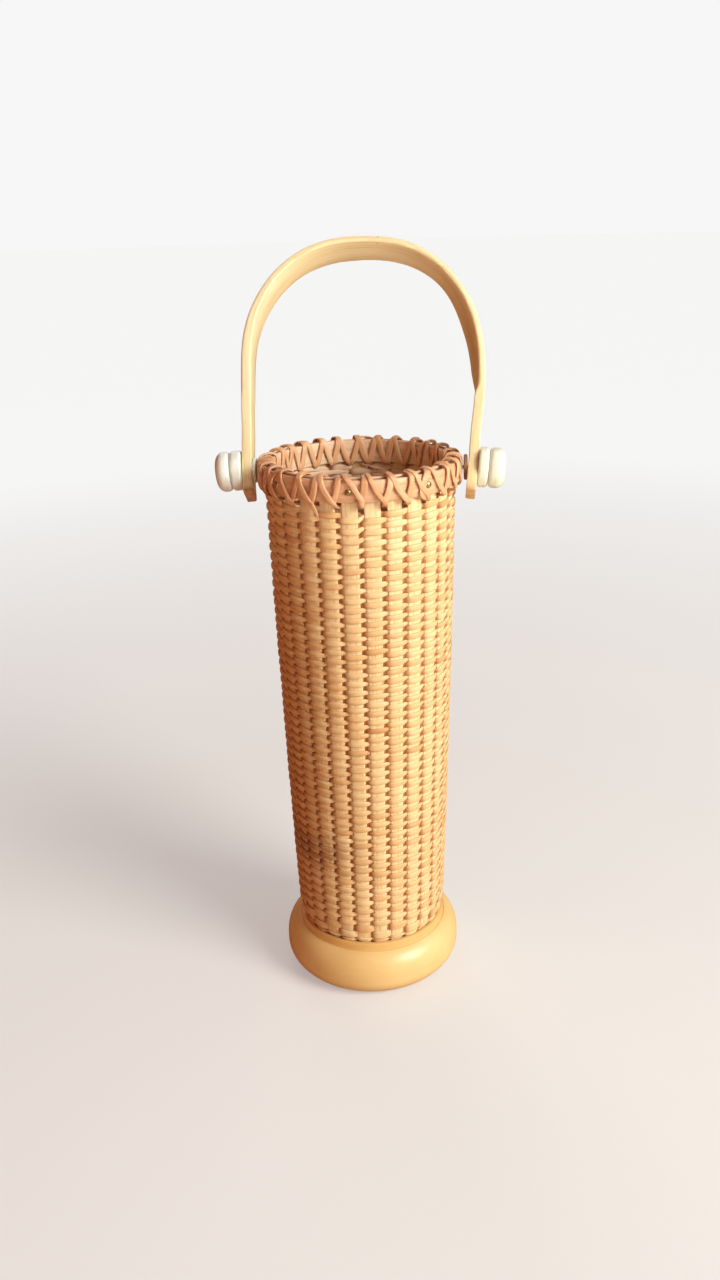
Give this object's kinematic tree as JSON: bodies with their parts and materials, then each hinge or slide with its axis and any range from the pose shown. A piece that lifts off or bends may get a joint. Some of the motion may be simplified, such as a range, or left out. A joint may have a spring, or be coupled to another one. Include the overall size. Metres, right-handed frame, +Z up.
{
  "type": "nantucket basket",
  "caption": "Tall, narrow round basket of woven cane over wooden staves, with a turned wooden base, a lashed hoop rim and a bent swing handle on pins with knobs.",
  "frame": {"origin": "middle of the flat underside of the base, at table height", "axes": "+Z up along the axis of the basket, +X along the handle's pins towards the right knob, -Y towards the viewer, and the handle leans back towards +Y at rest"},
  "size_m": [0.1444, 0.1293, 0.3906],
  "materials": {
    "base": "turned hardwood, honey coloured, satin varnish",
    "woven_wall": "woven cane, varnished, straw to orange-brown",
    "staves": "thin flat hardwood staves, pale with fine straight grain",
    "inner_hoop": "bent hardwood hoop, aged",
    "outer_hoop": "bent hardwood hoop with a rounded face, aged",
    "lashing": "flat split cane, reddish tan, smooth",
    "rim_nails": "small domed brass nail heads",
    "handle": "steam-bent hardwood band, honey coloured, gloss varnish",
    "pins": "brass rod with a round head",
    "washers": "thin cream bone-like discs",
    "knobs": "turned cream bone-like knobs, polished"
  },
  "bodies": {
    "basket": {"base": "base", "woven_wall": "woven_wall", "stave_01": "staves", "stave_02": "staves", "stave_03": "staves", "stave_04": "staves", "stave_05": "staves", "stave_06": "staves", "stave_07": "staves", "stave_08": "staves", "stave_09": "staves", "stave_10": "staves", "stave_11": "staves", "stave_12": "staves", "stave_13": "staves", "stave_14": "staves", "stave_15": "staves", "stave_16": "staves", "stave_17": "staves", "stave_18": "staves", "stave_19": "staves", "stave_20": "staves", "stave_21": "staves", "stave_22": "staves", "stave_23": "staves", "stave_24": "staves", "stave_25": "staves", "stave_26": "staves", "stave_27": "staves", "inner_hoop": "inner_hoop", "outer_hoop": "outer_hoop", "lashing_first_strand": "lashing", "lashing_second_strand": "lashing", "rim_nail_1": "rim_nails", "rim_nail_2": "rim_nails", "rim_nail_3": "rim_nails", "rim_nail_4": "rim_nails", "rim_nail_5": "rim_nails", "rim_nail_6": "rim_nails"},
    "handle": {"handle": "handle", "right_pin": "pins", "right_washer": "washers", "right_knob": "knobs", "left_pin": "pins", "left_washer": "washers", "left_knob": "knobs"}
  },
  "joints": [
    {"name": "handle_swing", "type": "hinge", "parent": "basket", "child": "handle", "pos_m": [0, 0, 0.28445], "axis": [1, 0, 0], "range_deg": [-115, 185]}
  ]
}
